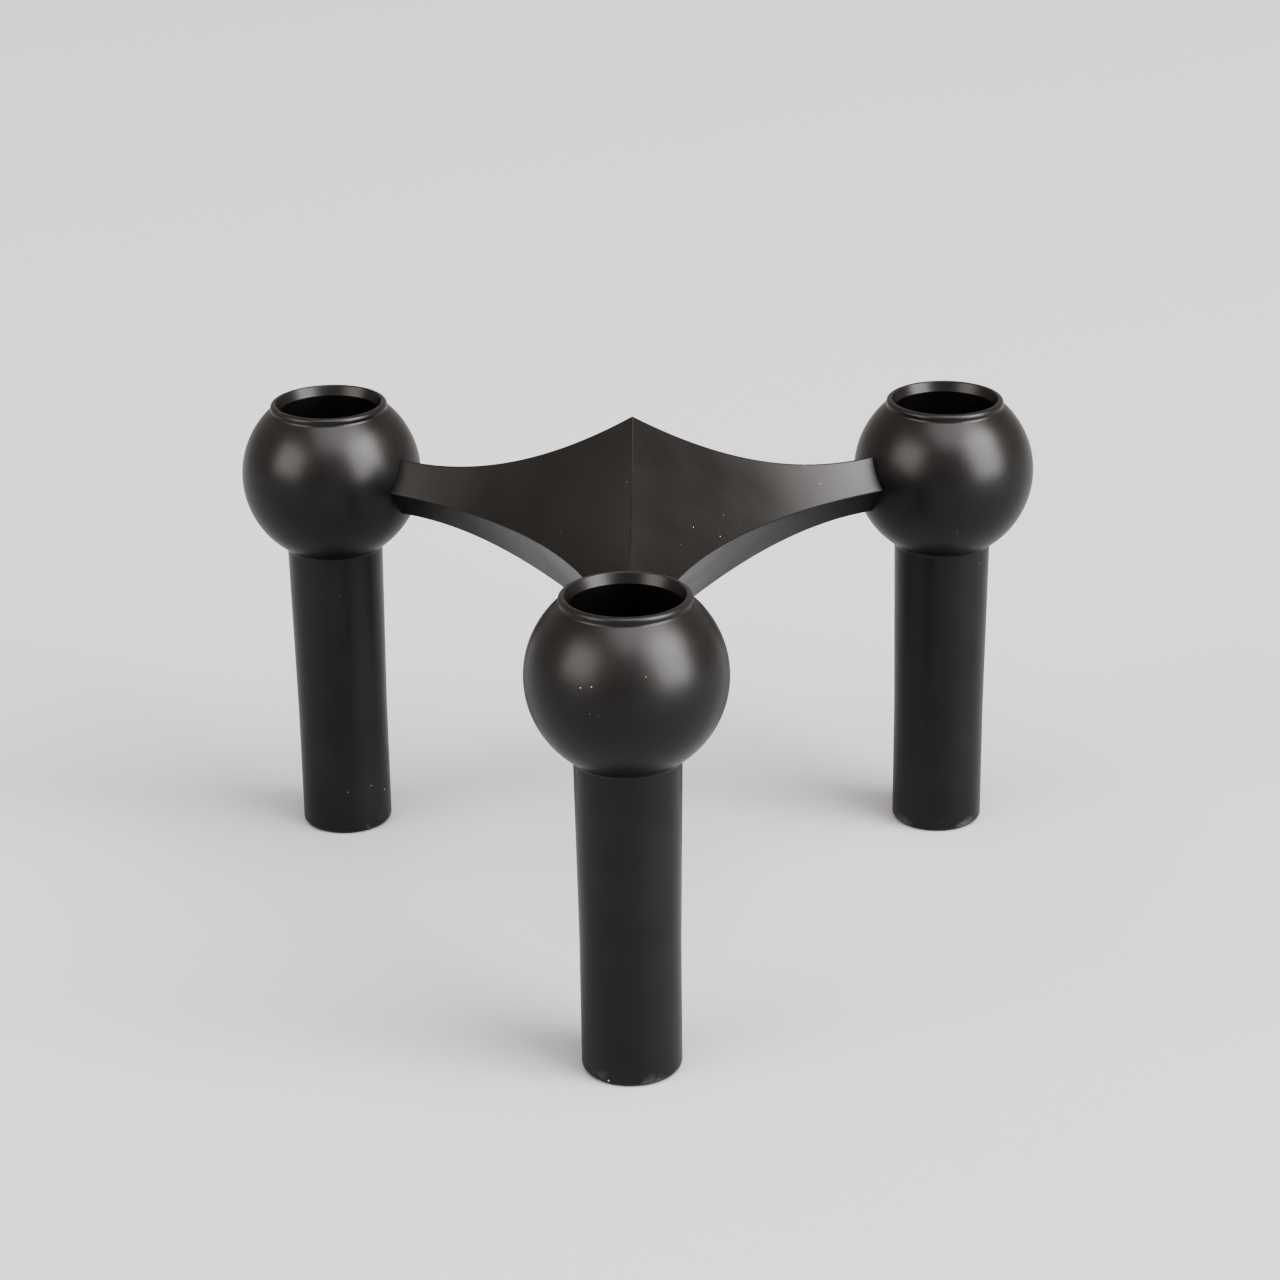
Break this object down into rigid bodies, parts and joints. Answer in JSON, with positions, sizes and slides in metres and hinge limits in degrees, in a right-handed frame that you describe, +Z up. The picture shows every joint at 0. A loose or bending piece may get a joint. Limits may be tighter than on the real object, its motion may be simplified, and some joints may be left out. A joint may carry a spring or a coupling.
{
  "type": "tabletop candelabra",
  "caption": "Low stackable candle holder: a ridged star joins balls with candle sockets on straight legs, and the legs fit the sockets of another.",
  "frame": {"origin": "where the star's vertical centre axis meets the table", "axes": "+Z up along the star's axis; the front leg stands on -Y, the other two at 30 and 150 degrees from +X"},
  "size_m": [0.1022, 0.0916, 0.064],
  "materials": {
    "black_paint": "satin",
    "screw_steel": "satin"
  },
  "bodies": {
    "root": {"star_hub": "black_paint", "ball_cup_front": "black_paint", "leg_front": "black_paint", "arm_screw_front": "screw_steel", "leg_screw_front": "screw_steel", "ball_cup_right": "black_paint", "leg_right": "black_paint", "arm_screw_right": "screw_steel", "leg_screw_right": "screw_steel", "ball_cup_left": "black_paint", "leg_left": "black_paint", "arm_screw_left": "screw_steel", "leg_screw_left": "screw_steel"}
  },
  "joints": []
}
